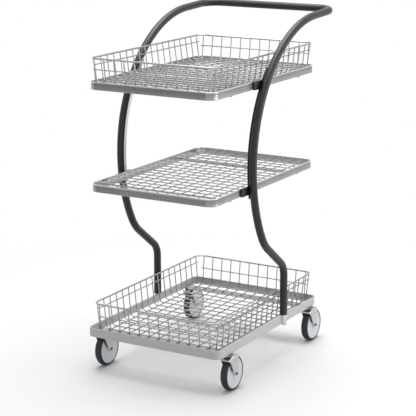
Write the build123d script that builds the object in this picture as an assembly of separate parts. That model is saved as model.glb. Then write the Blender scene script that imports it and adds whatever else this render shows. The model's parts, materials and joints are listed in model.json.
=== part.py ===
# A wire basket trolley: bent tube handle, two shelves, a base on swivel castors and two lift-out baskets.
# Millimetres, +Z up, +X to the right of someone who faces the back, +Y towards the handle bar.
# The pieces are laid out about the middle of the shelf stack and moved to the object's own origin at export.
import os
from math import asin, cos, degrees, pi, radians, sin, sqrt

from build123d import *

os.makedirs("parts", exist_ok=True)

# Wheels and castors.
wheel_diameter = 100.0
wheel_radius = wheel_diameter / 2
wheel_sides = 32
tyre_depth = 7.2
tyre_width = 22.0
disc_width = 19.6
hub_radius = 11.0
hub_width = 24.4
hub_sides = 12
axle_radius = 4.0
axle_sides = 16
axle_key_radius = 3.7
bolt_head_radius = 6.5
bolt_head_height = 3.0
fork_gap = 26.0
fork_sheet = 2.2
fork_corner_cut = 3.0
castor_trail = 26.0
castor_inset = 7.5
front_castor_inset = 61.6
back_castor_inset = 47.4
castor_head_height = 4.7
castor_head_radius = 16.0
castor_head_sides = 16
castor_pin_radius = 4.0
pin_neck_width = 5.4
pin_cap_radius = 5.0
pin_cap_height = 2.0
pin_foot_radius = 4.8
pin_foot_height = 1.8
running_clearance = 0.05
moving_clearance = 0.3

# Base tray.
base_width = 429.0
base_depth = 604.0
base_height = 25.0
base_bottom = 111.0
base_wall = 2.2
base_lip = 4.6
base_lip_height = 2.2
base_corner_radius = 20.0
base_offset = 1.4
bar_width = 26.0
bar_height = 4.0

# Handle tube, its side path as one chain from the foot to the cross bar.
tube_radius = 11.0
tube_wall = 1.5
tube_sides = 12
tube_outset = 0.5
tube_foot_back = 80.0
tube_foot_gap = 2.0
tube_foot_length = 117.8
knee_radius = 54.0
knee_turn = 53.5
shin_length = 97.5
hip_radius = 140.0
hip_turn = 23.5
lower_arc_radius = 410.0
lower_arc_turn = 30.0
upper_arc_radius = 385.0
upper_arc_turn = 87.5
reach_length = 133.0
grip_corner_radius = 50.0

# Shelves.
shelf_depth = 604.0
shelf_height = 22.0
shelf_wall = 2.2
shelf_corner_radius = 27.0
mid_shelf_top = 556.0
top_shelf_top = 841.0
mesh_drop = 11.0
mesh_wire = 3.0
mesh_edge = 1.6
mesh_columns = 12
mesh_rows = 19
support_radius = 2.75
support_sides = 8
support_inset = 102.0
support_drop = 23.0
tab_length = 26.0
tab_sheet = 1.6
tab_rise = 3.0
tab_inset = 65.0

# Rails and shelf blocks.
rail_width = 12.0
rail_sheet = 3.5
rail_below_mid = 34.4
rail_above_top = 26.8
block_width = 6.5
block_length = 80.0
block_height = 23.0
block_lead = 56.0
block_edge = 3.0

# Foot spigots in the tube ends.
spigot_clearance = 0.1
spigot_end = 13.0
bracket_drop = 4.5
spigot_screw_rise = 97.0
screw_radius = 2.0
screw_head_radius = 3.6
screw_head_height = 1.6

# Baskets.
wire = 3.4
rim_wire = 5.0
rim_corner_radius = 26.0
wall_lean = 10.0
basket_columns = 12
basket_rows = 18
mid_wire_over = 4.0
top_basket_play = 10.8
top_column_inset = 6.3
top_row_inset = 13.6
top_rim_height = 904.0
top_side_mid_height = 885.0
top_end_mid_height = 873.0
base_side_play = 19.15
base_end_play = 9.9
base_column_inset = 12.5
base_row_inset = 12.1
base_rim_height = 207.0
base_side_mid_height = 188.0
base_end_mid_height = 169.0
base_basket_offset = 3.9

# Outline of one fork leg, back edge first, as shares of the wheel radius to the back and of the fork's rise.
fork_outline_shares = [
    (0.16, -0.09), (0.24, 0.05), (0.26, 0.36), (0.24, 0.79), (0.18, 1.0),
    (-0.62, 1.0), (-0.76, 0.86), (-0.72, 0.79), (-0.54, 0.64), (-0.42, 0.375),
    (-0.32, 0.20), (-0.16, -0.07), (0.0, -0.15),
]
# The hollow between the legs: the lip's underside, the inside of the hood and the inside of the crown.
hood_inside_shares = [(-1.0, 0.77), (-0.735, 0.77), (-0.66, 0.93)]


def part_ring(width, depth, radius, wall, height, bottom):
    outer = RectangleRounded(width, depth, radius)
    inner = RectangleRounded(width - 2 * wall, depth - 2 * wall, radius - wall)
    return Pos(0, 0, bottom) * extrude(outer - inner, height)


def box_between(low, high):
    size = [b - a for a, b in zip(low, high)]
    middle = [(a + b) / 2 for a, b in zip(low, high)]
    return Pos(*middle) * Box(*size)


def square_bar(half, low, high, x, y):
    return box_between((x - half, y - half, low), (x + half, y + half, high))


def rod_x(radius, start, end, y, z):
    return Pos((start + end) / 2, y, z) * Rot(0, 90, 0) * Cylinder(radius, abs(end - start))


def rod_z(radius, start, end, x, y):
    return Pos(x, y, (start + end) / 2) * Cylinder(radius, abs(end - start))


def prism_x(sides, radius, start, end, y, z):
    # A many sided bar along X, its corners at the radius.
    return Pos(start, y, z) * extrude(Plane.YZ * RegularPolygon(radius, sides), end - start)


def prism_z(sides, radius, start, end, x, y):
    return Pos(x, y, start) * extrude(RegularPolygon(radius, sides), end - start)


def hex_x(radius, start, end, y, z):
    return prism_x(6, radius, start, end, y, z)


def tube_outline(radius):
    # The handle tube's section: many sided, with its flats at the radius and one flat towards each side.
    return RegularPolygon(radius, tube_sides, major_radius=False, rotation=degrees(pi / tube_sides))


def tube_prism(radius, start, end):
    return Pos(tube_x, tube_foot_back, start) * extrude(tube_outline(radius), end - start)


def mirrored(solid):
    return mirror(solid, about=Plane.YZ)


class SidePath:
    # Walks along the tube's side path and keeps its edges and points as back and up pairs.
    def __init__(self, back, up, heading):
        self.place = (back, up)
        self.heading = heading
        self.steps = []

    def line(self, length):
        start = self.place
        a = radians(self.heading)
        self.place = (start[0] + length * cos(a), start[1] + length * sin(a))
        self.steps.append(("line", start, None, self.place))

    def turn(self, angle, radius):
        side = 1 if angle > 0 else -1
        a = radians(self.heading)
        centre = (self.place[0] - side * radius * sin(a), self.place[1] + side * radius * cos(a))
        points = []
        for part in (0, 0.5, 1):
            b = radians(self.heading + angle * part)
            points.append((centre[0] + side * radius * sin(b), centre[1] - side * radius * cos(b)))
        self.heading += angle
        self.place = points[2]
        self.steps.append(("arc", *points))
        return centre

    def edges(self, x):
        found = []
        for kind, start, middle, end in self.steps:
            if kind == "line":
                found.append(Edge.make_line((x, *start), (x, *end)))
            else:
                found.append(Edge.make_three_point_arc((x, *start), (x, *middle), (x, *end)))
        return found


# Derived widths, heights and places.
axle_height = wheel_radius
tube_x = base_width / 2 + tube_outset
tube_face = tube_x - tube_radius
shelf_width = 2 * (tube_face - block_width)
castor_x = base_width / 2 - castor_inset
bar_top = base_bottom + bar_height
base_top = base_bottom + base_height
crown_top = base_bottom - castor_head_height - moving_clearance
fork_rise = crown_top - axle_height
swivel_backs = [
    base_offset - base_depth / 2 + front_castor_inset,
    base_offset + base_depth / 2 - back_castor_inset,
]
tube_foot_height = base_top + tube_foot_gap
spigot_screw_height = tube_foot_height + spigot_screw_rise
spigot_top = spigot_screw_height + spigot_end

side = SidePath(tube_foot_back, tube_foot_height, 90.0)
side.line(tube_foot_length)
side.turn(knee_turn, knee_radius)
side.line(shin_length)
side.turn(-hip_turn, hip_radius)
lower_centre = side.turn(-lower_arc_turn, lower_arc_radius)
upper_centre = side.turn(-upper_arc_turn, upper_arc_radius)
side.line(reach_length - grip_corner_radius)
reach_slope = radians(side.heading)
reach_step = Vector(0, cos(reach_slope), sin(reach_slope))
grip_corner = Vector(tube_x, *side.place) + reach_step * grip_corner_radius

# Whole object runs from the shelf fronts to the back of the cross bar.
object_front = -shelf_depth / 2
tube_corner = tube_radius / cos(pi / tube_sides)
object_back = grip_corner.Y + tube_corner * cos(pi / tube_sides - reach_slope)
object_shift = -(object_front + object_back) / 2


def handle_tube():
    # Solid inside past the spigots, which close both ends.
    bend = grip_corner_radius
    start = grip_corner - reach_step * bend
    end = grip_corner - Vector(bend, 0, 0)
    centre = start - Vector(bend, 0, 0)
    middle = centre + (reach_step + Vector(1, 0, 0)) * (bend / sqrt(2))
    right = side.edges(tube_x) + [Edge.make_three_point_arc(start, middle, end)]
    left = [edge.mirror(Plane.YZ) for edge in reversed(right)]
    bar = Edge.make_line(end, Vector(-end.X, end.Y, end.Z))
    path = Wire(right + [bar] + left)
    foot = Pos(tube_x, tube_foot_back, tube_foot_height) * tube_outline(tube_radius)
    tube = sweep(foot, path=path)
    bore = tube_prism(tube_radius - tube_wall, tube_foot_height, spigot_top + moving_clearance)
    bore += hex_x(screw_radius, tube_face, tube_x, tube_foot_back, spigot_screw_height)
    return tube - bore - mirrored(bore)


def arc_point(centre, radius, turn):
    # A point on an arc, its turn measured upwards from the arc's foremost point.
    a = radians(turn)
    return (centre[0] - radius * cos(a), centre[1] + radius * sin(a))


def rail_turns():
    below = degrees(asin((mid_shelf_top - rail_below_mid - lower_centre[1]) / lower_arc_radius))
    above = degrees(asin((top_shelf_top + rail_above_top - upper_centre[1]) / upper_arc_radius))
    return below, above


def tube_back(height):
    # How far back the tube's middle line is where it passes the shelves.
    if height < lower_centre[1]:
        centre, radius = lower_centre, lower_arc_radius
    else:
        centre, radius = upper_centre, upper_arc_radius
    return centre[0] - sqrt(radius ** 2 - (height - centre[1]) ** 2)


def rail_shape(grow):
    # Ribbon along both arcs, square ended, its width grown on each side for the groove in a block.
    below, above = rail_turns()
    half = rail_width / 2 + grow
    corners = []
    for offset in (half, -half):
        low = [arc_point(lower_centre, lower_arc_radius + offset, turn) for turn in (below, below / 2, 0)]
        high = [arc_point(upper_centre, upper_arc_radius + offset, turn) for turn in (0, above / 2, above)]
        corners.append((low, high))
    (low_a, high_a), (low_b, high_b) = corners
    edges = [
        Edge.make_three_point_arc(*[(0, *p) for p in low_a]),
        Edge.make_three_point_arc(*[(0, *p) for p in high_a]),
        Edge.make_line((0, *high_a[2]), (0, *high_b[2])),
        Edge.make_three_point_arc(*[(0, *p) for p in reversed(high_b)]),
        Edge.make_three_point_arc(*[(0, *p) for p in reversed(low_b)]),
        Edge.make_line((0, *low_b[0]), (0, *low_a[0])),
    ]
    return Pos(tube_face - rail_sheet, 0, 0) * extrude(Face(Wire(edges)), rail_sheet, dir=(1, 0, 0))


def right_rail():
    return rail_shape(0)


def block_front(shelf_top):
    return tube_back(shelf_top - block_height / 2) - block_lead


def right_block(shelf_top):
    inner = shelf_width / 2
    front = block_front(shelf_top)
    low = (inner, front, shelf_top - block_height)
    block = box_between(low, (tube_face, front + block_length, shelf_top))
    block = chamfer(block.edges().filter_by(Axis.X), block_edge)
    return block - rail_shape(running_clearance)


def shelf_frame(shelf_top):
    bottom = shelf_top - shelf_height
    return part_ring(shelf_width, shelf_depth, shelf_corner_radius, shelf_wall, shelf_height, bottom)


def shelf_mesh(shelf_top):
    # One flat net: the outline less a grid of gaps, which a smaller rounded outline trims at the corners.
    width = shelf_width - 2 * shelf_wall
    depth = shelf_depth - 2 * shelf_wall
    radius = shelf_corner_radius - shelf_wall
    pitch_x = width / mesh_columns
    pitch_y = depth / mesh_rows
    gap = Rectangle(pitch_x - mesh_wire, pitch_y - mesh_wire)
    gaps = GridLocations(pitch_x, pitch_y, mesh_columns, mesh_rows) * gap
    trim = RectangleRounded(width - 2 * mesh_edge, depth - 2 * mesh_edge, radius - mesh_edge)
    net = RectangleRounded(width, depth, radius) - (Sketch() + gaps & trim)
    return Pos(0, 0, shelf_top - mesh_drop - mesh_wire / 2) * extrude(net, mesh_wire)


def shelf_wires(shelf_top):
    # The same mesh as two layers of straight wires, long ones below, for the shelf that a basket covers.
    half_w = shelf_width / 2 - shelf_wall
    half_d = shelf_depth / 2 - shelf_wall
    top = shelf_top - mesh_drop + mesh_wire / 2
    middle = top - mesh_wire
    half = mesh_wire / 2
    columns = row_places(mesh_columns - 1, 2 * half_w / mesh_columns)
    rows = row_places(mesh_rows - 1, 2 * half_d / mesh_rows)
    found = [box_between((x - half, -half_d, middle - mesh_wire), (x + half, half_d, middle)) for x in columns]
    found += [box_between((-half_w, y - half, middle), (half_w, y + half, top)) for y in rows]
    return found


def shelf_supports(shelf_top):
    end = shelf_width / 2 - shelf_wall
    back = shelf_depth / 2 - support_inset
    z = shelf_top - support_drop
    return [prism_x(support_sides, support_radius, -end, end, sign * back, z) for sign in (-1, 1)]


def shelf_tab():
    wall = shelf_width / 2 - shelf_wall
    front = tab_inset - shelf_depth / 2
    low = (-wall, front, mid_shelf_top - mesh_drop + mesh_wire / 2 + tab_rise)
    return box_between(low, (tab_sheet - wall, front + tab_length, mid_shelf_top))


def base_frame():
    frame = part_ring(base_width, base_depth, base_corner_radius, base_wall, base_height, base_bottom)
    lip_bottom = base_top - base_lip_height
    frame += part_ring(base_width, base_depth, base_corner_radius, base_lip, base_lip_height, lip_bottom)
    return Pos(0, base_offset, 0) * frame


def castor_bar(y):
    end = base_width / 2 - base_wall
    bar = box_between((-end, y - bar_width / 2, base_bottom), (end, y + bar_width / 2, bar_top))
    for sign in (-1, 1):
        bar -= square_bar(pin_neck_width / 2 + running_clearance, base_bottom, bar_top, sign * castor_x, y)
    return bar


def right_spigot():
    # A plug up inside the tube and, below it, a bracket that lies against the outside of the base.
    radius = tube_radius - tube_wall - spigot_clearance
    step = base_top + moving_clearance
    bottom = base_bottom - bracket_drop
    low = (base_width / 2, tube_foot_back - tube_radius, bottom)
    high = (tube_x + tube_radius, tube_foot_back + tube_radius, step)
    bracket = tube_prism(radius, bottom, step) & box_between(low, high)
    spigot = tube_prism(radius, step, spigot_top) + bracket
    return spigot - hex_x(screw_radius, tube_face, tube_x, tube_foot_back, spigot_screw_height)


def right_spigot_screw():
    shank = hex_x(screw_radius, tube_face, tube_x, tube_foot_back, spigot_screw_height)
    head_face = tube_face - screw_head_height
    return shank + hex_x(screw_head_radius, head_face, tube_face, tube_foot_back, spigot_screw_height)


def castor_head(x, y):
    bottom = crown_top + moving_clearance
    head = prism_z(castor_head_sides, castor_head_radius, bottom, base_bottom, x, y)
    return head - square_bar(pin_neck_width / 2 + running_clearance, bottom, base_bottom, x, y)


def castor_pin(x, y):
    # A bolt with a square neck through the bar and the head, and a many sided end that the fork turns on.
    foot_top = crown_top - fork_sheet - moving_clearance
    neck_bottom = crown_top + moving_clearance
    pin = prism_z(axle_sides, castor_pin_radius, foot_top, neck_bottom, x, y)
    pin += square_bar(pin_neck_width / 2, neck_bottom, bar_top, x, y)
    pin += prism_z(6, pin_cap_radius, bar_top, bar_top + pin_cap_height, x, y)
    return pin + prism_z(6, pin_foot_radius, foot_top - pin_foot_height, foot_top, x, y)


def fork(x, swivel_y):
    # One pressed sheet: the side outline pushed across the wheel and hollowed between the legs.
    def place(shares):
        return (shares[0] * wheel_radius, shares[1] * fork_rise)

    width = fork_gap + 2 * fork_sheet
    outline = [place(shares) for shares in fork_outline_shares]
    body = extrude(Plane.YZ * make_face(Polyline(*outline, close=True)), width / 2, both=True)
    body = chamfer(body.edges().filter_by(Axis.X).group_by(Axis.Z)[-1], fork_corner_cut)
    ceiling = fork_rise - fork_sheet
    inside = [place(shares) for shares in hood_inside_shares]
    front = inside[0][0]
    inside += [(inside[-1][0] + fork_sheet, ceiling), (-front, ceiling), (-front, -fork_rise), (front, -fork_rise)]
    body -= extrude(Plane.YZ * make_face(Polyline(*inside, close=True)), fork_gap / 2, both=True)
    body -= hex_x(axle_key_radius + running_clearance, -width, width, 0, 0)
    body = Pos(x, swivel_y + castor_trail, axle_height) * body
    return body - rod_z(castor_pin_radius + running_clearance, axle_height, base_bottom, x, swivel_y)


def axle(x, y):
    # Many sided between the legs, six sided where it passes through them, with a six sided head at each end.
    inner = fork_gap / 2
    outer = inner + fork_sheet
    found = prism_x(axle_sides, axle_radius, x - inner, x + inner, y, axle_height)
    found += hex_x(axle_key_radius, x - outer, x + outer, y, axle_height)
    for sign in (-1, 1):
        start = x + sign * outer
        found += hex_x(bolt_head_radius, start, start + sign * bolt_head_height, y, axle_height)
    return found


def tyre(x, y):
    half = tyre_width / 2
    ring = prism_x(wheel_sides, wheel_radius, x - half, x + half, y, axle_height)
    return ring - prism_x(wheel_sides, wheel_radius - tyre_depth, x - half, x + half, y, axle_height)


def disc(x, y):
    half = disc_width / 2
    body = prism_x(wheel_sides, wheel_radius - tyre_depth, x - half, x + half, y, axle_height)
    body += prism_x(hub_sides, hub_radius, x - hub_width / 2, x + hub_width / 2, y, axle_height)
    return body - rod_x(axle_radius + running_clearance, x - hub_width, x + hub_width, y, axle_height)


def row_places(count, pitch):
    return [(i - (count - 1) / 2) * pitch for i in range(count)]


def basket(floor_half_w, floor_half_d, floor, rim_height, insets, mids, middle_y):
    # Wires bent up at both ends, long ones below and cross ones on them, the rim on their tips and mid wires inside.
    rim_bottom = rim_height - rim_wire / 2
    rise = wall_lean - (rim_wire - wire) / 2
    long_bottom = floor
    cross_bottom = floor + wire

    def out(half, bottom, z):
        return half + rise * (z - bottom) / (rim_bottom - bottom)

    def bent_wire(half, bottom):
        # The outline of a wire that runs across the floor and leans outwards up both walls.
        high = out(half, bottom, rim_bottom)
        step = bottom + wire
        inner = out(half, bottom, step) - wire
        outline = [(-high, rim_bottom), (-half, bottom), (half, bottom), (high, rim_bottom)]
        outline += [(high - wire, rim_bottom), (inner, step), (-inner, step), (wire - high, rim_bottom)]
        return make_face(Polyline(*outline, close=True))

    def mid_wire(half, bottom, height, reach):
        # A bar along the inside of a wall, with the wall's lean.
        low = height - wire / 2
        high = height + wire / 2
        near = out(half, bottom, low) - wire
        far = out(half, bottom, high) - wire
        outline = [(near - wire, low), (near, low), (far, high), (far - wire, high)]
        return extrude(Plane.XZ * make_face(Polyline(*outline, close=True)), reach, both=True)

    column_reach = floor_half_w - insets[0]
    row_reach = floor_half_d - insets[1]
    columns = row_places(basket_columns, 2 * column_reach / (basket_columns - 1))
    rows = row_places(basket_rows, 2 * row_reach / (basket_rows - 1))
    long_wire = extrude(Plane.YZ * bent_wire(floor_half_d, long_bottom), wire / 2, both=True)
    cross_wire = extrude(Plane.XZ * bent_wire(floor_half_w, cross_bottom), wire / 2, both=True)
    over = wire / 2 + mid_wire_over
    side_mid = mid_wire(floor_half_w, cross_bottom, mids[0], row_reach + over)
    end_mid = Rot(0, 0, 90) * mid_wire(floor_half_d, long_bottom, mids[1], column_reach + over)
    width = 2 * (floor_half_w + wall_lean)
    depth = 2 * (floor_half_d + wall_lean)
    pieces = {
        "rim": [part_ring(width, depth, rim_corner_radius, rim_wire, rim_wire, rim_bottom)],
        "long_wires": [Pos(x, 0, 0) * long_wire for x in columns],
        "cross_wires": [Pos(0, y, 0) * cross_wire for y in rows],
        "mid_wires": [side_mid, mirrored(side_mid), end_mid, mirror(end_mid, about=Plane.XZ)],
    }
    return {name: [Pos(0, middle_y, 0) * solid for solid in group] for name, group in pieces.items()}


def save(name, found):
    group = found if isinstance(found, list) else [found]
    solids = []
    for item in group:
        solids += (Pos(0, object_shift, 0) * item).solids()
    shape = solids[0] if len(solids) == 1 else Compound(children=solids)
    shape.label = name
    export_step(shape, f"parts/{name}.step")


save("handle_tube", handle_tube())
save("rail_right", right_rail())
save("rail_left", mirrored(right_rail()))

for level, shelf_top in (("mid", mid_shelf_top), ("top", top_shelf_top)):
    save(f"{level}_block_right", right_block(shelf_top))
    save(f"{level}_block_left", mirrored(right_block(shelf_top)))
    save(f"{level}_shelf_frame", shelf_frame(shelf_top))
    save(f"{level}_shelf_supports", shelf_supports(shelf_top))
save("mid_shelf_mesh", shelf_mesh(mid_shelf_top))
save("top_shelf_mesh", shelf_wires(top_shelf_top))
save("mid_shelf_tab", shelf_tab())

save("base_frame", base_frame())
save("castor_bar_front", castor_bar(swivel_backs[0]))
save("castor_bar_back", castor_bar(swivel_backs[1]))
save("spigot_right", right_spigot())
save("spigot_left", mirrored(right_spigot()))
save("spigot_screws", [right_spigot_screw(), mirrored(right_spigot_screw())])

heads = []
pins = []
for end_name, swivel_y in zip(("front", "back"), swivel_backs):
    for side_name, x in (("left", -castor_x), ("right", castor_x)):
        place = f"{end_name}_{side_name}"
        axle_y = swivel_y + castor_trail
        heads.append(castor_head(x, swivel_y))
        pins.append(castor_pin(x, swivel_y))
        save(f"fork_{place}", fork(x, swivel_y))
        save(f"axle_{place}", axle(x, axle_y))
        save(f"tyre_{place}", tyre(x, axle_y))
        save(f"disc_{place}", disc(x, axle_y))
save("castor_heads", heads)
save("castor_pins", pins)

top_basket = basket(
    shelf_width / 2 - shelf_wall - top_basket_play, shelf_depth / 2 - shelf_wall - top_basket_play,
    top_shelf_top - mesh_drop + mesh_wire / 2, top_rim_height,
    (top_column_inset, top_row_inset), (top_side_mid_height, top_end_mid_height), 0)
base_basket = basket(
    base_width / 2 - base_lip - base_side_play, base_depth / 2 - base_lip - base_end_play,
    bar_top, base_rim_height,
    (base_column_inset, base_row_inset), (base_side_mid_height, base_end_mid_height), base_basket_offset)
for level, pieces in (("top", top_basket), ("base", base_basket)):
    for name, group in pieces.items():
        save(f"{level}_basket_{name}", group)
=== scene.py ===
import json
import math

import bmesh
import bpy
from mathutils import Matrix, Vector


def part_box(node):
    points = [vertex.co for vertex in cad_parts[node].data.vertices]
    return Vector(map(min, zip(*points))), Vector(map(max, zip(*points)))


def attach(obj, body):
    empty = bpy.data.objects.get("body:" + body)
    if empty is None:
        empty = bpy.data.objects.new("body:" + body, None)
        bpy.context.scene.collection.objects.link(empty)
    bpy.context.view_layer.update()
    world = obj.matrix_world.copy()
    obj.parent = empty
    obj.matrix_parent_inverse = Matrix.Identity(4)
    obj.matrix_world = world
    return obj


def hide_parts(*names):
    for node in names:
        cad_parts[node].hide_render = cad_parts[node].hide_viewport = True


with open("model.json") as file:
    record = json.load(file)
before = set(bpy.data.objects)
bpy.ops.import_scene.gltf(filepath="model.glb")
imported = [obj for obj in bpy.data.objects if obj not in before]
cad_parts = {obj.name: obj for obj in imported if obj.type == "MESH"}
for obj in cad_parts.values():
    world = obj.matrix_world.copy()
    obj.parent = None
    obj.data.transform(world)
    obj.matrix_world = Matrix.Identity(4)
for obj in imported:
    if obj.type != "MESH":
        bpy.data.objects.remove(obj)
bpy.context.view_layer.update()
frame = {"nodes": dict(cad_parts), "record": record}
mm = 0.001
# the handle's route and the camera's place are measured from the middle of the shelves
shelfLow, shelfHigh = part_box("mid_shelf_frame")
stackY = (shelfLow[1] + shelfHigh[1]) / 2
sides = ("left", "right")
castorPlaces = [f"{end}_{side}" for end in ("front", "back") for side in sides]


def toLinear(text):
    parts = [int(text[i : i + 2], 16) / 255 for i in (1, 3, 5)]
    return [c / 12.92 if c <= 0.04045 else ((c + 0.055) / 1.055) ** 2.4 for c in parts] + [1.0]


def addNode(tree, kind, settings=None, links=None):
    # settings are node properties or input values, links go from (node, output) to an input of the new node
    node = tree.nodes.new(kind)
    for key, value in (settings or {}).items():
        if isinstance(key, str) and hasattr(node, key):
            setattr(node, key, value)
        else:
            node.inputs[key].default_value = value
    for key, (source, output) in (links or {}).items():
        tree.links.new(source.outputs[output], node.inputs[key])
    return node


def newMaterial(name):
    material = bpy.data.materials.new(name)
    material.use_nodes = True
    tree = material.node_tree
    tree.nodes.clear()
    shader = addNode(tree, "ShaderNodeBsdfPrincipled")
    addNode(tree, "ShaderNodeOutputMaterial", links={"Surface": (shader, "BSDF")})
    place = addNode(tree, "ShaderNodeTexCoord")
    return material, tree, shader, place


def addTube(mesh, points, radius, around=8, closed=False):
    # round bar along a chain of points, with its section carried on without twist
    verts, faces = mesh
    points = [Vector(p) for p in points]
    count = len(points)
    start = len(verts)
    normal = None
    for i, point in enumerate(points):
        if closed:
            ahead, behind = points[(i + 1) % count], points[i - 1]
        else:
            ahead, behind = points[min(i + 1, count - 1)], points[max(i - 1, 0)]
        along = (ahead - behind).normalized()
        if normal is None:
            guide = Vector((0, 0, 1)) if abs(along.z) < 0.9 else Vector((1, 0, 0))
            normal = (guide - along * guide.dot(along)).normalized()
        else:
            normal = (normal - along * normal.dot(along)).normalized()
        side = along.cross(normal)
        for k in range(around):
            a = 2 * math.pi * k / around
            verts.append(point + (normal * math.cos(a) + side * math.sin(a)) * radius)
    rings = count if closed else count - 1
    for i in range(rings):
        a, b = start + i * around, start + ((i + 1) % count) * around
        for k in range(around):
            n = (k + 1) % around
            faces.append((a + k, a + n, b + n, b + k))
    if not closed:
        faces.append(tuple(start + k for k in reversed(range(around))))
        faces.append(tuple(start + (count - 1) * around + k for k in range(around)))


def addLathe(mesh, centre, profile, axis="x", segments=96):
    # closed profile of (distance from the axis, place along it) turned about an axis through the centre
    verts, faces = mesh
    start = len(verts)
    for i in range(segments):
        a = 2 * math.pi * i / segments
        for radius, along in profile:
            c, s = radius * math.cos(a), radius * math.sin(a)
            verts.append(Vector(centre) + Vector((along, c, s) if axis == "x" else (c, s, along)))
    count = len(profile)
    for i in range(segments):
        a, b = start + i * count, start + ((i + 1) % segments) * count
        for k in range(count):
            n = (k + 1) % count
            faces.append((a + k, a + n, b + n, b + k))


def addPrism(mesh, outline, start, end, axis="x"):
    # outline of (y, z) pushed along X, or of (x, y) pushed along Z
    verts, faces = mesh
    first, count = len(verts), len(outline)
    for along in (start, end):
        for u, v in outline:
            verts.append(Vector((along, u, v) if axis == "x" else (u, v, along)))
    for k in range(count):
        n = (k + 1) % count
        faces.append((first + k, first + n, first + count + n, first + count + k))
    faces.append(tuple(first + k for k in reversed(range(count))))
    faces.append(tuple(first + count + k for k in range(count)))


def circle(centre, radius, count):
    angles = [2 * math.pi * k / count for k in range(count)]
    return [(centre[0] + radius * math.cos(a), centre[1] + radius * math.sin(a)) for a in angles]


def roundedRing(width, depth, radius, inset, arcSteps):
    # points of a rounded rectangle, drawn in from its outline by inset
    points = []
    w, d, r = width / 2 - radius, depth / 2 - radius, radius - inset
    for cx, cy, first in ((w, d, 0), (-w, d, 90), (-w, -d, 180), (w, -d, 270)):
        for step in range(arcSteps + 1):
            a = math.radians(first + 90 * step / arcSteps)
            points.append((cx + r * math.cos(a), cy + r * math.sin(a)))
    return points


def addRing(mesh, centre, width, depth, radius, profile, arcSteps=10):
    # closed profile of (inset, height) carried round a rounded rectangle
    verts, faces = mesh
    start = len(verts)
    loops = [roundedRing(width, depth, radius, inset, arcSteps) for inset, height in profile]
    total = len(loops[0])
    for i in range(total):
        for loop, (inset, height) in zip(loops, profile):
            verts.append(Vector((centre[0] + loop[i][0], centre[1] + loop[i][1], height)))
    count = len(profile)
    for i in range(total):
        a, b = start + i * count, start + ((i + 1) % total) * count
        for k in range(count):
            n = (k + 1) % count
            faces.append((a + k, b + k, b + n, a + n))


def softened(corners, radius, steps=3):
    # closed outline with every corner cut to a small round, which takes less than half of each edge
    result = []
    count = len(corners)
    for i, corner in enumerate(corners):
        here = Vector(corner)
        before = Vector(corners[i - 1]) - here
        after = Vector(corners[(i + 1) % count]) - here
        reach = min(radius, before.length * 0.48, after.length * 0.48)
        a, b = here + before.normalized() * reach, here + after.normalized() * reach
        for step in range(steps + 1):
            t = step / steps
            result.append(tuple(a * (1 - t) ** 2 + here * 2 * t * (1 - t) + b * t * t))
    return result


def bentRoute(corners, radius, steps=5):
    # open route with a round bend at every inner corner
    points = [Vector(corners[0])]
    for i in range(1, len(corners) - 1):
        here = Vector(corners[i])
        before = (Vector(corners[i - 1]) - here).normalized()
        after = (Vector(corners[i + 1]) - here).normalized()
        turn = math.pi - before.angle(after)
        reach = radius * math.tan(turn / 2)
        middle = (before + after).normalized()
        centre = here + middle * (radius / math.cos(turn / 2))
        a, b = here + before * reach - centre, here + after * reach - centre
        axis = a.cross(b).normalized()
        for step in range(steps + 1):
            points.append(centre + Matrix.Rotation(a.angle(b) * step / steps, 3, axis) @ a)
    points.append(Vector(corners[-1]))
    return points


def tidyMesh(data, apart=0.0):
    # points that a cut left on one place are joined, and every face looks outwards
    work = bmesh.new()
    work.from_mesh(data)
    if apart:
        bmesh.ops.remove_doubles(work, verts=work.verts, dist=apart)
        bmesh.ops.dissolve_degenerate(work, edges=work.edges, dist=apart)
    bmesh.ops.recalc_face_normals(work, faces=work.faces)
    work.to_mesh(data)
    work.free()


def looseMesh(name, mesh):
    data = bpy.data.meshes.new(name)
    data.from_pydata([tuple(v) for v in mesh[0]], [], mesh[1])
    data.validate()
    tidyMesh(data)
    piece = bpy.data.objects.new(name, data)
    bpy.context.scene.collection.objects.link(piece)
    return piece


def addBevel(piece, width, segments=2, angle=50):
    bevel = piece.modifiers.new("edges", "BEVEL")
    bevel.width, bevel.segments, bevel.limit_method = width, segments, "ANGLE"
    bevel.angle_limit = math.radians(angle)


def settle(piece):
    # turns what the modifiers make into the piece's own mesh
    shown = piece.evaluated_get(bpy.context.evaluated_depsgraph_get())
    data = bpy.data.meshes.new_from_object(shown)
    piece.modifiers.clear()
    piece.data = data


def cutAway(piece, cutter, operation="DIFFERENCE"):
    cut = piece.modifiers.new("cut", "BOOLEAN")
    cut.object, cut.operation, cut.solver = cutter, operation, "EXACT"
    settle(piece)
    tidyMesh(piece.data, 0.01 * mm)
    bpy.data.objects.remove(cutter)


def dress(piece, material, body, replaced=(), angle=40):
    piece.data.materials.clear()
    piece.data.materials.append(material)
    piece.data.shade_smooth()
    piece.data.set_sharp_from_angle(angle=math.radians(angle))
    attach(piece, body)
    if replaced:
        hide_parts(*replaced)
    return piece


def makePiece(name, mesh, body, slot, replaced=(), angle=40, bevel=0):
    piece = looseMesh(name, mesh)
    if bevel:
        addBevel(piece, bevel)
        settle(piece)
    return dress(piece, finishes[slot], body, replaced, angle)


def nodeMiddle(node):
    low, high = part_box(node)
    return (Vector(low) + Vector(high)) / 2


def nodeSize(node):
    low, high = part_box(node)
    return Vector(high) - Vector(low)


def baseColour(shader):
    return shader.inputs["Base Color"].links[0].from_node


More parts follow.
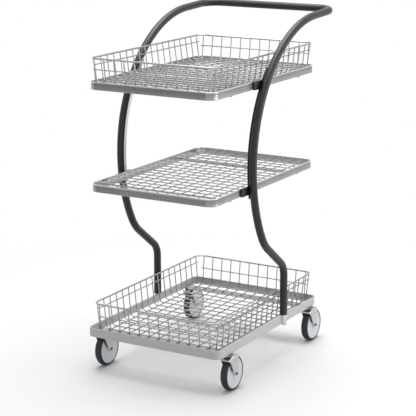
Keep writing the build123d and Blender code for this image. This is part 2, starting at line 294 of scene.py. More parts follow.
def addClouds(tree, shader, place, light, dark, perMetre, detail, ends=(0.0, 1.0)):
    # two close tones of one colour in soft patches
    cloud = addNode(tree, "ShaderNodeTexNoise", {"Scale": perMetre, "Detail": detail}, {"Vector": (place, "Object")})
    tint = addNode(tree, "ShaderNodeValToRGB", links={"Fac": (cloud, "Fac")})
    for element, position, colour in zip(tint.color_ramp.elements, ends, (dark, light)):
        element.position, element.color = position, toLinear(colour)
    tree.links.new(tint.outputs["Color"], shader.inputs["Base Color"])


def addRelief(tree, shader, noise, strength, depth):
    bump = addNode(tree, "ShaderNodeBump", {"Strength": strength, "Distance": depth}, {"Height": (noise, "Fac")})
    tree.links.new(bump.outputs["Normal"], shader.inputs["Normal"])


print("tools ready")

# Epoxy polyester powder coat, sprayed and baked: a satin skin with a faint orange peel.
powderLook = {"handle": ("#2c2b30", "#27262a"), "base": ("#bdbdbd", "#b7b7b7"), "peelWidth": 1.6 * mm,
              "peelDepth": 0.01 * mm, "cloudsPerMetre": 14.0, "ior": 1.38}


def powderCoat(name, light, dark, roughness, strength):
    material, tree, shader, place = newMaterial(name)
    peel = addNode(tree, "ShaderNodeTexNoise", {"Scale": 1 / powderLook["peelWidth"], "Detail": 1.0},
                   {"Vector": (place, "Object")})
    addClouds(tree, shader, place, light, dark, powderLook["cloudsPerMetre"], 3.0)
    addRelief(tree, shader, peel, strength, powderLook["peelDepth"])
    shader.inputs["Roughness"].default_value = roughness
    shader.inputs["IOR"].default_value = powderLook["ior"]
    return material


# Zinc plated steel: bright passivated metal with drawing lines along the bar and cloudy gloss.
platedLook = {"cloudsPerMetre": 12.0, "cloudEnds": (0.35, 0.65), "glossLeast": 0.9, "glossMost": 1.12,
              "grainStrength": 0.05, "grainDepth": 0.005 * mm}
# how much of the grain's width counts along X, Y and Z: a small share draws it out into lines
evenGrain, barGrain, railGrain = (1, 1, 1), (0.05, 0.05, 1), (1, 1, 0.05)
sheetGrain, turnedGrain = (1, 1, 0.2), (1, 1, 0.1)


def platedSteelTree(name, light, dark, roughness, grainWidth, stretch):
    material, tree, shader, place = newMaterial(name)
    scale = 1 / (grainWidth * mm)
    spread = addNode(tree, "ShaderNodeMapping", {"Scale": tuple(scale * share for share in stretch)},
                     {"Vector": (place, "Object")})
    grain = addNode(tree, "ShaderNodeTexNoise", {"Scale": 1.0, "Detail": 2.0}, {"Vector": (spread, "Vector")})
    addClouds(tree, shader, place, light, dark, platedLook["cloudsPerMetre"], 3.0, platedLook["cloudEnds"])
    least, most = roughness * platedLook["glossLeast"], roughness * platedLook["glossMost"]
    gloss = addNode(tree, "ShaderNodeMapRange", {"To Min": least, "To Max": most}, {"Value": (grain, "Fac")})
    tree.links.new(gloss.outputs["Result"], shader.inputs["Roughness"])
    addRelief(tree, shader, grain, platedLook["grainStrength"], platedLook["grainDepth"])
    shader.inputs["Metallic"].default_value = 1.0
    return material, tree, shader, place


def platedSteel(*look):
    return platedSteelTree(*look)[0]


# Moulded plastics and rubber: even colour, fine grain from the mould.
mouldedLook = {"cloudsPerMetre": 30.0, "grainDepth": 0.03 * mm, "ior": 1.49}


def moulded(name, light, dark, roughness, grainWidth, strength):
    material, tree, shader, place = newMaterial(name)
    grain = addNode(tree, "ShaderNodeTexNoise", {"Scale": 1 / (grainWidth * mm), "Detail": 2.0},
                    {"Vector": (place, "Object")})
    addClouds(tree, shader, place, light, dark, mouldedLook["cloudsPerMetre"], 2.0)
    addRelief(tree, shader, grain, strength, mouldedLook["grainDepth"])
    shader.inputs["Roughness"].default_value = roughness
    shader.inputs["IOR"].default_value = mouldedLook["ior"]
    return material


# the near black colour is painted shade on the rail's edges, used where a face looks away from X
railLook = {"light": "#d2d2d2", "dark": "#c6c6c6", "roughness": 0.28, "grainWidth": 0.4, "paintedEdgeShade": "#161618",
            "paintedEdgeShadeTo": 0.6, "stripFrom": 0.75}


def railMetal():
    # aluminium strip: the faces that look along X, towards the shelves, show the metal, and every other face is painted
    # near black as painted shade on the rail's edges
    material, tree, shader, place = platedSteelTree("extrudedAluminium", railLook["light"], railLook["dark"],
                                                    railLook["roughness"], railLook["grainWidth"], railGrain)
    split = addNode(tree, "ShaderNodeSeparateXYZ", links={"Vector": (place, "Normal")})
    level = addNode(tree, "ShaderNodeMath", {"operation": "ABSOLUTE"}, {0: (split, "X")})
    faced = addNode(tree, "ShaderNodeMapRange", {"From Min": railLook["paintedEdgeShadeTo"], "From Max": railLook["stripFrom"]},
                    {"Value": (level, "Value")})
    mix = addNode(tree, "ShaderNodeMixRGB", {"Color1": toLinear(railLook["paintedEdgeShade"])},
                  {"Fac": (faced, "Result"), "Color2": (baseColour(shader), "Color")})
    tree.links.new(mix.outputs["Color"], shader.inputs["Base Color"])
    tree.links.new(faced.outputs["Result"], shader.inputs["Metallic"])
    return material


# name, light and dark tone, roughness, then the relief's strength, or the grain's width in millimetres and its stretch
finishes = {
    "handle_coat": powderCoat("powderCoatAnthracite", *powderLook["handle"], 0.34, 0.04),
    "base_coat": powderCoat("powderCoatLightGrey", *powderLook["base"], 0.5, 0.15),
    "rail_metal": railMetal(),
    "shelf_metal": platedSteel("zincPlatedBar", "#9a9b9c", "#8e8f90", 0.26, 0.5, barGrain),
    "mesh_wire": platedSteel("zincPlatedCrimpedWire", "#a2a2a2", "#949494", 0.3, 0.5, evenGrain),
    "basket_wire": platedSteel("brightPlatedWeldedWire", "#acacad", "#9e9e9f", 0.26, 0.5, evenGrain),
    "castor_metal": platedSteel("zincPlatedPressedSheet", "#c6c6c4", "#b9b9b6", 0.3, 0.6, sheetGrain),
    "spigot_metal": platedSteel("zincPlatedTurnedSteel", "#cfcfcf", "#c4c4c4", 0.4, 0.5, turnedGrain),
    # the bolt's dark grey is painted shade, standing in for the shade in the sockets at the axle
    "bolt_metal": platedSteel("zincPlatedBolt", "#5a5a58", "#4c4c4a", 0.4, 0.5, evenGrain),
    "screw_metal": platedSteel("zincPlatedScrew", "#9a9a99", "#858584", 0.38, 0.5, evenGrain),
    # here the grain's width in millimetres comes before the relief's strength
    "block_plastic": moulded("mouldedPolyamideBlack", "#151517", "#101012", 0.42, 0.5, 0.2),
    "wheel_plastic": moulded("mouldedPolypropyleneGrey", "#cdd0d7", "#c5c9d0", 0.42, 0.8, 0.15),
    "tyre": moulded("thermoplasticRubberGreenGrey", "#1e2827", "#18201f", 0.62, 0.7, 0.3),
}

slotOf = {part["node"]: part["material_slot"] for part in frame["record"]["subparts"]}
for nodeName, node in frame["nodes"].items():
    for index in range(len(node.material_slots)):
        node.material_slots[index].material = finishes[slotOf[nodeName]]
print("materials ready")

shelfBar = {
    "cornerRadius": 27.0 * mm, "wall": 2.2 * mm, "edge": 1.1 * mm, "crown": 0.35 * mm,
    # the last colour here is the painted highlight on the bar's edge and faces
    "light": "#8f9091", "dark": "#858687", "paintedHighlight": "#cfd0d1", "roughness": 0.24, "grainWidth": 0.5,
    # shares of the bar's height where its flat edges end and its hollow begins
    "edgeShare": 0.12, "hollowShare": 0.26,
    # how much painted highlight the inner face and the foot of the outer face get, and where on the bar each painted
    # highlight ends
    "insideShare": 0.1, "footShare": 0.3, "insideFrom": 0.7, "insideTop": 0.95, "brightFrom": 0.86, "footTop": 0.74,
}


def flatBarMetal():
    # painted highlight: the bar's upper edge is painted brighter than its faces, and its inner face and the foot of its
    # outer face a little brighter, by a share stored on the mesh
    material, tree, shader, place = platedSteelTree("zincPlatedFlatBar", shelfBar["light"], shelfBar["dark"],
                                                    shelfBar["roughness"], shelfBar["grainWidth"], barGrain)
    share = addNode(tree, "ShaderNodeAttribute", {"attribute_name": "paintedHighlightShare"})
    mix = addNode(tree, "ShaderNodeMixRGB", {"Color2": toLinear(shelfBar["paintedHighlight"])},
                  {"Fac": (share, "Fac"), "Color1": (baseColour(shader), "Color")})
    tree.links.new(mix.outputs["Color"], shader.inputs["Base Color"])
    return material


flatBar = flatBarMetal()


def paintedHighlightAt(inset, up):
    # share of painted highlight at a depth in the wall and a share of the bar's height
    if inset > shelfBar["wall"] * shelfBar["insideFrom"] and up < shelfBar["insideTop"]:
        return shelfBar["insideShare"]
    if up > shelfBar["brightFrom"]:
        return 1.0
    return shelfBar["footShare"] * max(0.0, shelfBar["footTop"] - up) / shelfBar["footTop"]


def makeShelfFrame(level):
    # flat bar with rolled edges, its outer face very slightly hollow between them
    node = f"{level}_shelf_frame"
    low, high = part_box(node)
    size = nodeSize(node)
    wall, crown = shelfBar["wall"], shelfBar["crown"]
    rise = high[2] - low[2]
    edge, hollow = rise * shelfBar["edgeShare"], rise * shelfBar["hollowShare"]
    corners = [(0, low[2]), (0, low[2] + edge), (crown, low[2] + hollow), (crown, high[2] - hollow),
               (0, high[2] - edge), (0, high[2]), (wall, high[2]), (wall, low[2])]
    profile = softened(corners, shelfBar["edge"], 4)
    mesh = ([], [])
    addRing(mesh, nodeMiddle(node), size.x, size.y, shelfBar["cornerRadius"], profile, 14)
    piece = dress(looseMesh(f"{level}ShelfFrame", mesh), flatBar, "trolley", [node])
    shares = [paintedHighlightAt(inset, (height - low[2]) / rise) for inset, height in profile]
    # every point of the ring carries its share of painted highlight
    attribute = piece.data.attributes.new("paintedHighlightShare", "FLOAT", "POINT")
    attribute.data.foreach_set("value", shares * (len(piece.data.vertices) // len(profile)))


supportRod = {"radius": 2.75 * mm, "around": 20}


def makeSupports(level):
    # two round rods across the shelf under its mesh
    node = f"{level}_shelf_supports"
    low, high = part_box(node)
    z = (low[2] + high[2]) / 2
    inset = (high[2] - low[2]) / 2
    mesh = ([], [])
    for y in (low[1] + inset, high[1] - inset):
        addTube(mesh, [(low[0], y, z), (0, y, z), (high[0], y, z)], supportRod["radius"], supportRod["around"])
    makePiece(f"{level}SupportRods", mesh, "trolley", "shelf_metal", [node])


def addScrewHead(mesh, centre, sign, look):
    # domed head on a face that looks towards the middle of the trolley, from shares of its radius and height
    dome = [(share * look["radius"], -sign * rise * look["height"]) for share, rise in look["dome"]]
    addLathe(mesh, centre, dome, "x", look["segments"])


blockScrew = {"radius": 2.9 * mm, "height": 1.5 * mm, "drop": 4.7 * mm, "apart": 40.0 * mm, "segments": 24,
              "dome": [(1, 0), (1, 0.35), (0.8, 0.8), (0.4, 1), (0.05, 1), (0.05, 0)]}


def makeBlockScrews(level):
    # round heads on the inside of the frame, two at each block
    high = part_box(f"{level}_shelf_frame")[1]
    mesh = ([], [])
    for side in sides:
        block = nodeMiddle(f"{level}_block_{side}")
        sign = 1 if block.x > 0 else -1
        wallX = (high[0] - shelfBar["wall"]) * sign
        for y in (block.y - blockScrew["apart"] / 2, block.y + blockScrew["apart"] / 2):
            addScrewHead(mesh, (wallX, y, high[2] - blockScrew["drop"]), sign, blockScrew)
    makePiece(f"{level}BlockScrews", mesh, "trolley", "screw_metal")


blockLook = {"shorter": 13.0 * mm, "round": 6.0 * mm, "past": 20.0 * mm, "edge": 0.6 * mm, "join": 0.02 * mm}


def makeBlock(level, side):
    # the block with its groove as in the CAD, its front end drawn back and rounded towards the shelf
    node = f"{level}_block_{side}"
    low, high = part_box(node)
    piece = bpy.data.objects.new(f"{level}Block.{side}", frame["nodes"][node].data.copy())
    bpy.context.scene.collection.objects.link(piece)
    past, sign = blockLook["past"], 1 if low[0] > 0 else -1
    inner, outer = (low[0] - past, high[0]) if sign > 0 else (high[0] + past, low[0])
    start, end = low[1] + blockLook["shorter"], high[1] + past
    outline = softened([(inner, start), (outer, start), (outer, end), (inner, end)][::sign], blockLook["round"], 6)
    mesh = ([], [])
    addPrism(mesh, outline, low[2] - past, high[2] + past, "z")
    cutAway(piece, looseMesh("end", mesh), "INTERSECT")
    addBevel(piece, blockLook["edge"])
    settle(piece)
    tidyMesh(piece.data, blockLook["join"])
    dress(piece, finishes["block_plastic"], "trolley", [node])


baseTray = {"cornerRadius": 20.0 * mm, "wall": 2.2 * mm, "lip": 4.6 * mm, "lipHeight": 2.2 * mm, "edge": 0.9 * mm}


def makeBaseTray():
    low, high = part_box("base_frame")
    size = nodeSize("base_frame")
    wall, lip, lipZ = baseTray["wall"], baseTray["lip"], high[2] - baseTray["lipHeight"]
    corners = [(0, low[2]), (0, high[2]), (lip, high[2]), (lip, lipZ), (wall, lipZ), (wall, low[2])]
    profile = softened(corners, baseTray["edge"])
    mesh = ([], [])
    addRing(mesh, nodeMiddle("base_frame"), size.x, size.y, baseTray["cornerRadius"], profile, 12)
    makePiece("baseTray", mesh, "trolley", "base_coat", ["base_frame"])


for level in ("mid", "top"):
    makeShelfFrame(level)
    makeSupports(level)
    makeBlockScrews(level)
    for side in sides:
        makeBlock(level, side)
makeBaseTray()
print("frames ready")

weave = {"wire": 3.0 * mm, "columns": 12, "rows": 19, "lift": 0.35 * mm, "layer": 1.0 * mm, "endGap": 0.6 * mm,
         "samples": 6, "around": 10}


def makeWeave(level):
    # slightly waved wires in two layers that are pressed into each other where they cross
    node = f"{level}_shelf_mesh"
    middle, size = nodeMiddle(node), nodeSize(node)
    corner = shelfBar["cornerRadius"] - shelfBar["wall"]
    mesh = ([], [])

    def addWires(count, width, crossings, length, phase, place):
        for i in range(1, count):
            across = -width / 2 + i * (width / count)
            # the wire ends at the frame's straight wall or at its rounded corner
            over = max(0.0, abs(across) - (width / 2 - corner))
            end = length / 2 - corner + math.sqrt(max(corner * corner - over * over, 0)) - weave["endGap"]
            points = []
            steps = crossings * weave["samples"]
            for k in range(steps + 1):
                along = -length / 2 + length * k / steps
                if abs(along) <= end:
                    wave = math.cos(math.pi * (along + length / 2) / (length / crossings)) * (-1) ** (i + phase)
                    points.append(Vector(place(across, along)) + Vector((0, 0, wave * weave["lift"])))
            addTube(mesh, points, weave["wire"] / 2, weave["around"])

    upper, lower = middle.z + weave["layer"], middle.z - weave["layer"]
    addWires(weave["columns"], size.x, weave["rows"], size.y, 0,
             lambda across, along: (middle.x + across, middle.y + along, upper))
    addWires(weave["rows"], size.y, weave["columns"], size.x, 1,
             lambda across, along: (middle.x + along, middle.y + across, lower))
    makePiece(f"{level}WovenMesh", mesh, "trolley", "mesh_wire", [node])


for level in ("mid", "top"):
    makeWeave(level)
print("shelf meshes ready")

basketWire = {
    "wire": 3.4 * mm, "rimWire": 5.0 * mm, "rimCorner": 26.0 * mm, "lean": 10.0 * mm, "bend": 10.0 * mm,
    "columns": 12, "rows": 18, "over": 4.0 * mm, "around": 12, "rimAround": 14, "rimSteps": 8,
    # shares of the rim's radius where the wires end below its middle, and of the wire that a mid wire stands in by
    "rimDrop": 0.6, "standIn": 0.94,
    "midHeights": {"top": (885.0 * mm, 873.0 * mm), "base": (188.0 * mm, 169.0 * mm)},
}


def makeBasket(level):
    body, wire, around = f"{level}_basket", basketWire["wire"], basketWire["around"]
    middle, size = nodeMiddle(f"{body}_rim"), nodeSize(f"{body}_rim")
    longLow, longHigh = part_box(f"{body}_long_wires")
    crossLow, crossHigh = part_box(f"{body}_cross_wires")
    rimZ, rimIn = middle.z, basketWire["rimWire"] / 2
    halfW, halfD = size.x / 2, size.y / 2
    lean = basketWire["lean"]

    def places(reach, count):
        return [reach * (2 * i / (count - 1) - 1) for i in range(count)]

    def wallAt(half, z, floorZ):
        # middle line of a wall wire at a height, from the floor wires out to the rim's middle line
        share = (z - floorZ) / (rimZ - floorZ)
        return half - lean - wire / 2 + (lean + wire / 2 - rimIn) * share

    longZ, crossZ = longLow[2] + wire / 2, crossLow[2] + wire / 2
    columns = places((longHigh[0] - longLow[0] - wire) / 2, basketWire["columns"])
    rows = places((crossHigh[1] - crossLow[1] - wire) / 2, basketWire["rows"])
    topZ = rimZ - rimIn * basketWire["rimDrop"]

    def bentWires(kind, half, floorZ, offsets, place):
        mesh = ([], [])
        out, foot = wallAt(half, topZ, floorZ), half - lean - wire / 2
        for offset in offsets:
            route = ((-out, topZ), (-foot, floorZ), (foot, floorZ), (out, topZ))
            corners = [place(offset, along, z) for along, z in route]
            addTube(mesh, bentRoute(corners, basketWire["bend"]), wire / 2, around)
        makePiece(f"{level}Basket{kind.capitalize()}Wires", mesh, body, "basket_wire", [f"{body}_{kind}_wires"])

    bentWires("long", halfD, longZ, columns, lambda offset, along, z: (middle.x + offset, middle.y + along, z))
    bentWires("cross", halfW, crossZ, rows, lambda offset, along, z: (middle.x + along, middle.y + offset, z))
    mesh = ([], [])
    sideZ, endZ = basketWire["midHeights"][level]
    standIn, past = wire * basketWire["standIn"], wire / 2 + basketWire["over"]
    reachX, reachY = columns[-1] + past, rows[-1] + past
    for sign in (-1, 1):
        x = middle.x + sign * (wallAt(halfW, sideZ, crossZ) - standIn)
        addTube(mesh, [(x, middle.y + reachY * k, sideZ) for k in (-1, 0, 1)], wire / 2, around)
        y = middle.y + sign * (wallAt(halfD, endZ, longZ) - standIn)
        addTube(mesh, [(middle.x + reachX * k, y, endZ) for k in (-1, 0, 1)], wire / 2, around)
    makePiece(f"{level}BasketMidWires", mesh, body, "basket_wire", [f"{body}_mid_wires"])
    mesh = ([], [])
    ring = roundedRing(size.x, size.y, basketWire["rimCorner"], rimIn, basketWire["rimSteps"])
    addTube(mesh, [(middle.x + x, middle.y + y, rimZ) for x, y in ring], rimIn, basketWire["rimAround"], True)
    makePiece(f"{level}BasketRim", mesh, body, "basket_wire", [f"{body}_rim"])


for level in ("top", "base"):
    makeBasket(level)
print("baskets ready")

handle = {
    "radius": 11.0 * mm, "spread": 430.0 * mm, "footY": 80.0 * mm, "footZ": 138.0 * mm, "around": 40,
    # straight runs in millimetres and turns as (degrees, radius)
    "route": [117.8, (53.5, 54.0), 97.5, (-23.5, 140.0), (-30.0, 410.0), (-87.5, 385.0), 83.0],
    "corner": 50.0 * mm, "cornerSteps": 16, "step": 12.0 * mm,
}


def handleRoute():
    # up one side in the YZ plane, round the corner of the cross bar, and the same mirrored
    y, z, heading = handle["footY"] + stackY, handle["footZ"], 90.0
    points = [(y, z)]
    for step in handle["route"]:
        if isinstance(step, float):
            length = step * mm
            parts = max(2, int(length / handle["step"]))
            for k in range(1, parts + 1):
                a = math.radians(heading)
                points.append((y + length * k / parts * math.cos(a), z + length * k / parts * math.sin(a)))
        else:
            turn, radius = step[0], step[1] * mm
            sign = 1 if turn > 0 else -1
            a = math.radians(heading)
            cy, cz = y - sign * radius * math.sin(a), z + sign * radius * math.cos(a)
            parts = max(8, int(abs(turn) / 2))
            for k in range(1, parts + 1):
                b = math.radians(heading + turn * k / parts)
                points.append((cy + sign * radius * math.sin(b), cz - sign * radius * math.cos(b)))
            heading += turn
        y, z = points[-1]
    slope = math.radians(heading)
    x, corner = handle["spread"] / 2, handle["corner"]
    right = [Vector((x, py, pz)) for py, pz in points]
    ahead = Vector((0, math.cos(slope), math.sin(slope)))
    centre = right[-1] - Vector((corner, 0, 0))
    for k in range(1, handle["cornerSteps"] + 1):
        a = math.pi / 2 * k / handle["cornerSteps"]
        right.append(centre + Vector((1, 0, 0)) * corner * math.cos(a) + ahead * corner * math.sin(a))
    left = [Vector((-p.x, p.y, p.z)) for p in reversed(right)]
    return right + left


def makeHandle():
    mesh = ([], [])
    addTube(mesh, handleRoute(), handle["radius"], handle["around"])
    makePiece("handleTube", mesh, "trolley", "handle_coat", ["handle_tube"], 60)


makeHandle()

spigot = {"radius": 9.4 * mm, "neckTop": 150.0 * mm, "edge": 1.0 * mm, "core": 0.1 * mm, "overTray": 0.3 * mm,
          "offWall": 0.2 * mm, "segments": 48, "arcSteps": 24}


def makeSpigot(side):
    # a round plug that goes up inside the tube, and a half round bracket outside the tray
    node = f"spigot_{side}"
    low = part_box(node)[0]
    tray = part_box("base_frame")[1]
    sign = 1 if side == "right" else -1
    centreX, centreY = sign * handle["spread"] / 2, handle["footY"] + stackY
    radius, core, neckTop, steps = spigot["radius"], spigot["core"], spigot["neckTop"], spigot["arcSteps"]
    foot = tray[2] + spigot["overTray"]
    mesh = ([], [])
    plug = [(radius, foot), (radius, neckTop), (core, neckTop), (core, foot)]
    addLathe(mesh, (centreX, centreY, 0), plug, "z", spigot["segments"])
    start = math.acos(min(1, (tray[0] - handle["spread"] / 2 + spigot["offWall"]) / radius))
    arc = [start * (1 - 2 * k / steps) for k in reversed(range(steps + 1))]
    outline = [(centreX + sign * radius * math.cos(a), centreY + radius * math.sin(a) * sign) for a in arc]
    addPrism(mesh, outline, low[2], foot, "z")
    makePiece(f"spigotBracket.{side}", mesh, "trolley", "spigot_metal", [node], 40, spigot["edge"])


for side in sides:
    makeSpigot(side)

# the socket is 1.7 mm in radius and goes down to 0.4 of the head's height
socket = 1.7 / 3.6
footScrew = {"radius": 3.6 * mm, "height": 1.6 * mm, "segments": 36,
             "dome": [(1, 0), (1, 0.3), (0.85, 0.75), (0.6, 1), (socket, 1), (socket, 0.4), (0.02, 0.4), (0.02, 0)]}


def makeFootScrews():
    # button heads with a socket, on the inside of both tube feet
    middle = nodeMiddle("spigot_screws")
    face = handle["spread"] / 2 - handle["radius"]
    mesh = ([], [])
    for sign in (-1, 1):
        addScrewHead(mesh, (sign * face, middle.y, middle.z), sign, footScrew)
    makePiece("footScrews", mesh, "trolley", "screw_metal", ["spigot_screws"])


makeFootScrews()
print("handle ready")

tyreLook = {"radius": 50.0 * mm, "width": 22.0 * mm, "shoulder": 3.0 * mm, "flank": 4.5 * mm, "sunk": 0.2 * mm,
            # half widths at the seat and at the tread, as shares of the widest
            "seatShare": 0.93, "treadShare": 0.55}
discLook = {"seat": 42.8 * mm, "width": 19.6 * mm, "web": 17.4 * mm, "rim": 39.6 * mm, "rimSlope": 1.2 * mm,
            "hub": 11.0 * mm, "hubSlope": 2.5 * mm, "hubWidth": 24.4 * mm, "bore": 5.0 * mm, "edge": 0.6 * mm}


def makeWheel(place):
    middle = nodeMiddle(f"tyre_{place}")
    radius, half = tyreLook["radius"], tyreLook["width"] / 2
    inner, flank = discLook["seat"] - tyreLook["sunk"], radius - tyreLook["flank"]
    seat, tread = half * tyreLook["seatShare"], half * tyreLook["treadShare"]
    outline = [(inner, -seat), (flank, -half), (radius, -tread), (radius, tread), (flank, half), (inner, seat)]
    mesh = ([], [])
    addLathe(mesh, middle, softened(outline, tyreLook["shoulder"], 5))
    makePiece(f"tyre.{place}", mesh, f"wheel_{place}", "tyre", [f"tyre_{place}"], 50)
    edge, web, boss = [discLook[key] / 2 for key in ("width", "web", "hubWidth")]
    rim, hub = discLook["rim"], discLook["hub"]
    face = [(discLook["seat"], edge), (rim, edge), (rim - discLook["rimSlope"], web), (hub + discLook["hubSlope"], web),
            (hub, boss), (discLook["bore"], boss)]
    mesh = ([], [])
    addLathe(mesh, middle, softened(face + [(r, -w) for r, w in reversed(face)], discLook["edge"], 3))
    makePiece(f"disc.{place}", mesh, f"wheel_{place}", "wheel_plastic", [f"disc_{place}"])


forkLook = {
    # side outline from the axle, as shares of the wheel's radius to the back and of the fork's rise
    "outlineShares": [(0.0, -0.15), (0.16, -0.09), (0.24, 0.05), (0.26, 0.36), (0.24, 0.79), (0.18, 1.0), (-0.46, 1.0),
                      (-0.84, 0.80), (-0.60, 0.67), (-0.45, 0.40), (-0.32, 0.20), (-0.16, -0.07)],
    "hollowShares": [(-1.0, 0.77), (-0.75, 0.78), (-0.64, 0.88)],
    "holeShares": (-0.2, 0.73), "hole": 2.1 * mm, "holeSides": 24,
    "gap": 26.0 * mm, "sheet": 2.2 * mm, "round": 6.0 * mm, "fold": 1.5 * mm,
}


def makeFork(place):
    # one pressed sheet: a rounded outline folded over the wheel, hollow between the legs
    low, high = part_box(f"fork_{place}")
    axle = nodeMiddle(f"tyre_{place}")
    rise, radius, sheet, gap = high[2] - axle.z, tyreLook["radius"], forkLook["sheet"], forkLook["gap"]

    def at(shares):
        return (axle.y + shares[0] * radius, axle.z + shares[1] * rise)

    mesh = ([], [])
    addPrism(mesh, softened([at(s) for s in forkLook["outlineShares"]], forkLook["round"], 5), low[0], high[0])
    piece = looseMesh(f"fork.{place}", mesh)
    addBevel(piece, forkLook["fold"], 3, 60)
    settle(piece)
    inside = [at(s) for s in forkLook["hollowShares"]]
    ceiling, bottom = high[2] - sheet, axle.z - rise
    back = axle.y + radius
    inside += [(inside[-1][0] + sheet, ceiling), (back, ceiling), (back, bottom), (axle.y - radius, bottom)]
    mesh = ([], [])
    addPrism(mesh, inside, axle.x - gap / 2, axle.x + gap / 2)
    cutAway(piece, looseMesh("hollow", mesh))
    mesh = ([], [])
    hole = circle(at(forkLook["holeShares"]), forkLook["hole"], forkLook["holeSides"])
    addPrism(mesh, hole, axle.x - 2 * gap, axle.x + 2 * gap)
    cutAway(piece, looseMesh("hole", mesh))
    dress(piece, finishes["castor_metal"], f"castor_{place}", [f"fork_{place}"])


shadeSheetLook = {
    # band along the fork's front edge, as shares like the fork's outline
    "frontShares": [(-0.74, 0.785), (-0.735, 0.72), (-0.64, 0.60), (-0.51, 0.38), (-0.40, 0.2)],
    "backShares": [(-0.34, 0.22), (-0.3, 0.5), (-0.3, 0.88), (-0.62, 0.88)],
    "sheet": 1.4 * mm, "clear": 2.4 * mm, "round": 5.0 * mm, "roomSides": 72,
}


def makeShadeSheet(place):
    # black sheet inside the fork's front edge, painted shade that stands in for the shade under the fork, cut round the
    # tyre with room to roll
    axle = nodeMiddle(f"tyre_{place}")
    rise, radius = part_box(f"fork_{place}")[1][2] - axle.z, tyreLook["radius"]
    outline = [(axle.y + a * radius, axle.z + b * rise) for a, b in shadeSheetLook["frontShares"] + shadeSheetLook["backShares"]]
    half = forkLook["gap"] / 2
    mesh = ([], [])
    addPrism(mesh, softened(outline, shadeSheetLook["round"], 4), axle.x - half, axle.x + half)
    piece = looseMesh(f"paintedShadeSheet.{place}", mesh)
    inner = half - shadeSheetLook["sheet"]
    mesh = ([], [])
    room = circle((axle.y, axle.z), radius + shadeSheetLook["clear"], shadeSheetLook["roomSides"])
    addPrism(mesh, room, axle.x - inner, axle.x + inner)
    cutAway(piece, looseMesh("room", mesh))
    dress(piece, finishes["block_plastic"], f"castor_{place}")


boltLook = {"shaft": 4.0 * mm, "core": 0.1 * mm, "head": 4.3 * mm, "height": 2.9 * mm, "edge": 0.4 * mm,
            "washer": 6.2 * mm, "washerHeight": 0.9 * mm, "washerBore": 1.0 * mm, "washerSunk": 0.1 * mm,
            "washerEdge": 0.3 * mm}


def makeAxle(place):
    # bolt through both legs, with a washer and a six sided head on each side
    middle = nodeMiddle(f"axle_{place}")
    outer = forkLook["gap"] / 2 + forkLook["sheet"]
    shaft, core, top = boltLook["shaft"], boltLook["core"], outer + boltLook["washerHeight"]
    wide, bore, seat = boltLook["washer"], boltLook["washerBore"], outer - boltLook["washerSunk"]
    washer = softened([(wide, seat), (wide, top), (bore, top), (bore, seat)], boltLook["washerEdge"], 2)
    bolt, rings = ([], []), ([], [])
    addLathe(bolt, middle, [(shaft, -outer), (shaft, outer), (core, outer), (core, -outer)], "x", 32)
    head = circle((middle.y, middle.z), boltLook["head"], 6)
    for sign in (-1, 1):
        ends = sorted((middle.x + sign * top, middle.x + sign * (outer + boltLook["height"])))
        addPrism(bolt, head, ends[0], ends[1])
        addLathe(rings, middle, [(r, sign * along) for r, along in washer], "x", 36)
    makePiece(f"axle.{place}", bolt, f"castor_{place}", "bolt_metal", [f"axle_{place}"], 40, boltLook["edge"])
    makePiece(f"washers.{place}", rings, f"castor_{place}", "castor_metal")


headLook = {"radius": 16.0 * mm, "race": 14.6 * mm, "neck": 12.6 * mm, "bore": 3.0 * mm, "edge": 0.5 * mm,
            # shares of the head's height under the top plate, at the neck and at the top of the race
            "plateShare": 0.62, "neckShare": 0.5, "raceShare": 0.3}


def makeCastorHeads():
    # pressed top plate with the ball race under it, one over each fork
    low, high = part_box("castor_heads")
    radius, race, neck, bore = [headLook[key] for key in ("radius", "race", "neck", "bore")]
    bottom, rise = low[2], high[2] - low[2]
    outline = [(radius, bottom + rise), (radius, bottom + rise * headLook["plateShare"]),
               (neck, bottom + rise * headLook["neckShare"]), (race, bottom + rise * headLook["raceShare"]),
               (race, bottom), (bore, bottom), (bore, bottom + rise)]
    profile = softened(outline, headLook["edge"], 3)
    mesh = ([], [])
    for place in castorPlaces:
        y = low[1] + radius if "front" in place else high[1] - radius
        addLathe(mesh, (nodeMiddle(f"tyre_{place}").x, y, 0), profile, "z", 64)
    ballRace = platedSteel("zincPlatedBallRace", "#8c8c8a", "#7a7a78", 0.36, 0.6, sheetGrain)
    dress(looseMesh("castorHeads", mesh), ballRace, "trolley", ["castor_heads"])


for place in castorPlaces:
    makeWheel(place)
    makeFork(place)
    # a black sheet in each fork as painted shade
    makeShadeSheet(place)
    makeAxle(place)
makeCastorHeads()
print("castors ready")


def seenDirectly(tree):
    # 1 for what the camera sees, also in metal and through glass, and 0 for the light that falls on things
    ray = addNode(tree, "ShaderNodeLightPath")
    most = {"operation": "MAXIMUM"}
    first = addNode(tree, "ShaderNodeMath", most, {0: (ray, "Is Camera Ray"), 1: (ray, "Is Glossy Ray")})
    return addNode(tree, "ShaderNodeMath", most, {0: (first, "Value"), 1: (ray, "Is Transmission Ray")})


def addPlate(name, width, height, material):
    w, h = width / 2, height / 2
    data = bpy.data.meshes.new(name)
    data.from_pydata([(-w, -h, 0), (w, -h, 0), (w, h, 0), (-w, h, 0)], [], [(0, 1, 2, 3)])
    data.materials.append(material)
    plate = bpy.data.objects.new(name, data)
    bpy.context.scene.collection.objects.link(plate)
    return plate


floorLook = {"colour": "#e3e3e3", "roughness": 0.9, "width": 28.0, "fadeFrom": 0.4, "fadeTo": 1.5}


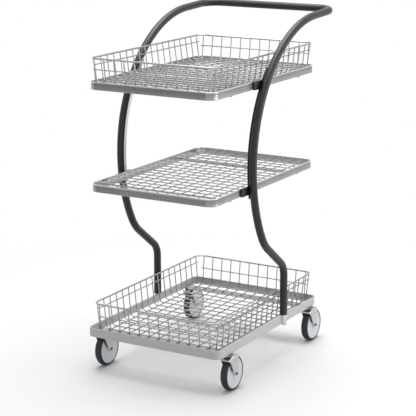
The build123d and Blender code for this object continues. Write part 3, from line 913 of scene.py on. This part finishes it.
def makeFloor():
    material, tree, shader, place = newMaterial("paintedFloor")
    shader.inputs["Base Color"].default_value = toLinear(floorLook["colour"])
    shader.inputs["Roughness"].default_value = floorLook["roughness"]
    # the floor runs out into the white backdrop with distance
    apart = addNode(tree, "ShaderNodeVectorMath", {"operation": "LENGTH"}, {0: (place, "Object")})
    ends = {"interpolation_type": "SMOOTHSTEP", "From Min": floorLook["fadeFrom"], "From Max": floorLook["fadeTo"]}
    fade = addNode(tree, "ShaderNodeMapRange", ends, {"Value": (apart, "Value")})
    seen = seenDirectly(tree)
    share = addNode(tree, "ShaderNodeMath", {"operation": "MULTIPLY"}, {0: (fade, "Result"), 1: (seen, "Value")})
    white = addNode(tree, "ShaderNodeEmission", {"Color": (1, 1, 1, 1), "Strength": 1.0})
    mix = addNode(tree, "ShaderNodeMixShader", links={0: (share, "Value"), 1: (shader, "BSDF"), 2: (white, "Emission")})
    output = [n for n in tree.nodes if n.type == "OUTPUT_MATERIAL"][0]
    tree.links.new(mix.outputs[0], output.inputs["Surface"])
    floor = addPlate("floor", floorLook["width"], floorLook["width"], material)


worldLight = 0.43


def makeWorld():
    world = bpy.data.worlds.new("studioWhite")
    world.use_nodes = True
    tree = world.node_tree
    tree.nodes.clear()
    seen = seenDirectly(tree)
    level = addNode(tree, "ShaderNodeMapRange", {"To Min": worldLight, "To Max": 1.0}, {"Value": (seen, "Value")})
    glow = addNode(tree, "ShaderNodeBackground", {"Color": (1, 1, 1, 1)}, {"Strength": (level, "Result")})
    addNode(tree, "ShaderNodeOutputWorld", links={"Surface": (glow, "Background")})
    bpy.context.scene.world = world


# watts, width or (width, height), place, and the height over the middle of the floor that the lamp looks at
lamps = {
    "softboxBroad": (62.0, 2.5, (0.0, 0.0, 3.2), 0.4),
    "softboxClose": (36.0, 1.7, (-0.3, 0.6, 2.8), 0.4),
    "softboxRight": (20.0, 1.8, (3.0, 0.6, 1.2), 0.5),
    "stripRight": (19.0, (0.35, 2.4), (2.6, 1.7, 0.9), 0.5),
}


def makeLamp(name, power, size, place, aim):
    data = bpy.data.lights.new(name, "AREA")
    data.energy = power
    if isinstance(size, tuple):
        data.shape = "RECTANGLE"
        data.size, data.size_y = size
    else:
        data.size = size
    lamp = bpy.data.objects.new(name, data)
    lamp.location = place
    lamp.rotation_euler = (Vector((0, 0, aim)) - Vector(place)).to_track_quat("-Z", "Y").to_euler()
    bpy.context.scene.collection.objects.link(lamp)


card = {"middle": (-1.0, -1.9, 0.5), "width": 1.7, "height": 1.5, "aim": 0.6, "colour": "#b6b6b6"}


def makeCard():
    # grey card at the front left that only reflections see, as a photographer sets one to draw the edges of bright bars
    material, tree, shader, place = newMaterial("greyFelt")
    shader.inputs["Base Color"].default_value = toLinear(card["colour"])
    shader.inputs["Roughness"].default_value = 1.0
    panel = addPlate("darkCard", card["width"], card["height"], material)
    panel.location = card["middle"]
    panel.rotation_euler = (Vector((0, 0, card["aim"])) - Vector(card["middle"])).to_track_quat("Z", "Y").to_euler()
    panel.visible_camera = panel.visible_diffuse = panel.visible_shadow = False


# the focal length is in pixels of the square frame, the place in millimetres from the middle of the shelves
view = {"focal": 1485.5, "frame": 416, "yaw": 0.5232, "pitch": 0.2400, "place": (2087.4, -3604.7, 1466.3), "far": 60}


def makeCamera():
    data = bpy.data.cameras.new("photoCamera")
    data.lens = view["focal"] / view["frame"] * data.sensor_width
    data.clip_end = view["far"]
    camera = bpy.data.objects.new("photoCamera", data)
    x, y, z = view["place"]
    camera.location = (x * mm, y * mm + stackY, z * mm)
    camera.rotation_euler = (math.pi / 2 - view["pitch"], 0, view["yaw"])
    bpy.context.scene.collection.objects.link(camera)
    bpy.context.scene.camera = camera


makeFloor()
makeWorld()
for name, look in lamps.items():
    makeLamp(name, *look)
makeCard()
makeCamera()
bpy.context.scene.view_settings.view_transform = "Standard"
print("stage ready")
